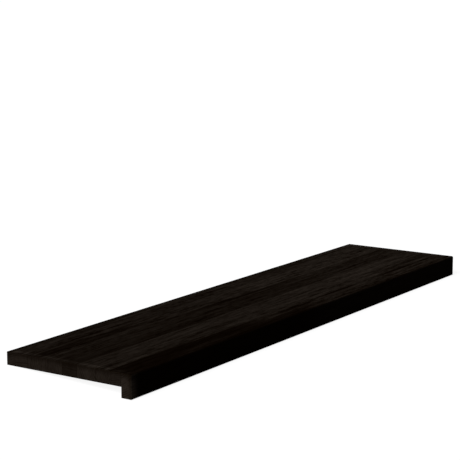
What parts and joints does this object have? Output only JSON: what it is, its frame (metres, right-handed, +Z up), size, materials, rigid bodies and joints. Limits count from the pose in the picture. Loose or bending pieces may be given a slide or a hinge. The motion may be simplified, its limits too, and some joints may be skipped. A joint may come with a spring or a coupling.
{
  "type": "stair tread",
  "caption": "Flat solid wood stair tread of edge-glued staves, with a dropped nosing strip that makes a lip over the front of the step, stained near black.",
  "frame": {"origin": "bottom centre of the box round the tread as it lies on a level floor", "axes": "+X along the tread's length, +Y towards its back edge, so that the nosing faces -Y, and +Z up. The tread leans back by 4.364 degrees, because its lip lifts the front."},
  "size_m": [1.2, 0.2724, 0.0442],
  "materials": {
    "stained_wood": "matt black-brown stain that leaves the open grain showing"
  },
  "bodies": {
    "root": {"stave_1": "stained_wood", "stave_2": "stained_wood", "stave_3": "stained_wood", "stave_4": "stained_wood", "stave_5": "stained_wood", "stave_6": "stained_wood", "stave_7": "stained_wood", "nosing_strip": "stained_wood"}
  },
  "joints": []
}
